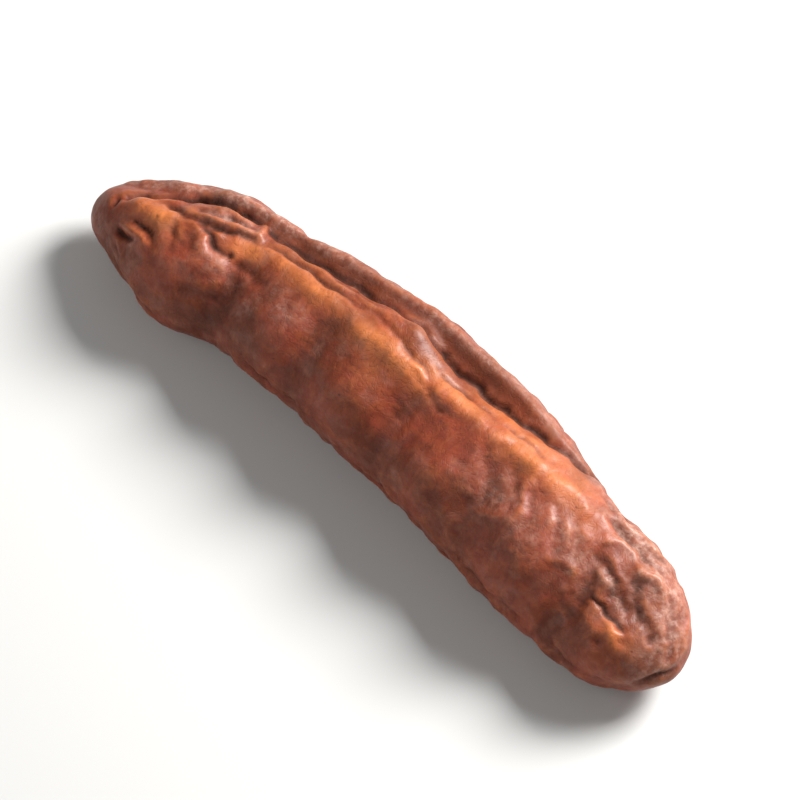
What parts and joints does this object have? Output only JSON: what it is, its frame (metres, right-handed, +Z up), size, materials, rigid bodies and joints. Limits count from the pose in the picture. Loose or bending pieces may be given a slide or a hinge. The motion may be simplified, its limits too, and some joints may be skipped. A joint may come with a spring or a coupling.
{
  "type": "dried banana",
  "caption": "Whole peeled finger of dried tropical fruit, leathery and wrinkled, folded along one side and lying on its flattened underside.",
  "frame": {"origin": "on the surface that the finger lies on, under the middle of its bounding box", "axes": "+Z up; +X along the finger, from its pinched stalk end to its blunt blossom end; +Y towards the rear lobe behind the fold"},
  "size_m": [0.1, 0.0234, 0.0183],
  "materials": {
    "dried_flesh": "red-brown leathery dried fruit flesh, mottled with orange on its ridges and dark in its folds, with a soft uneven sheen"
  },
  "bodies": {
    "root": {"dried_banana_finger": "dried_flesh"}
  },
  "joints": []
}
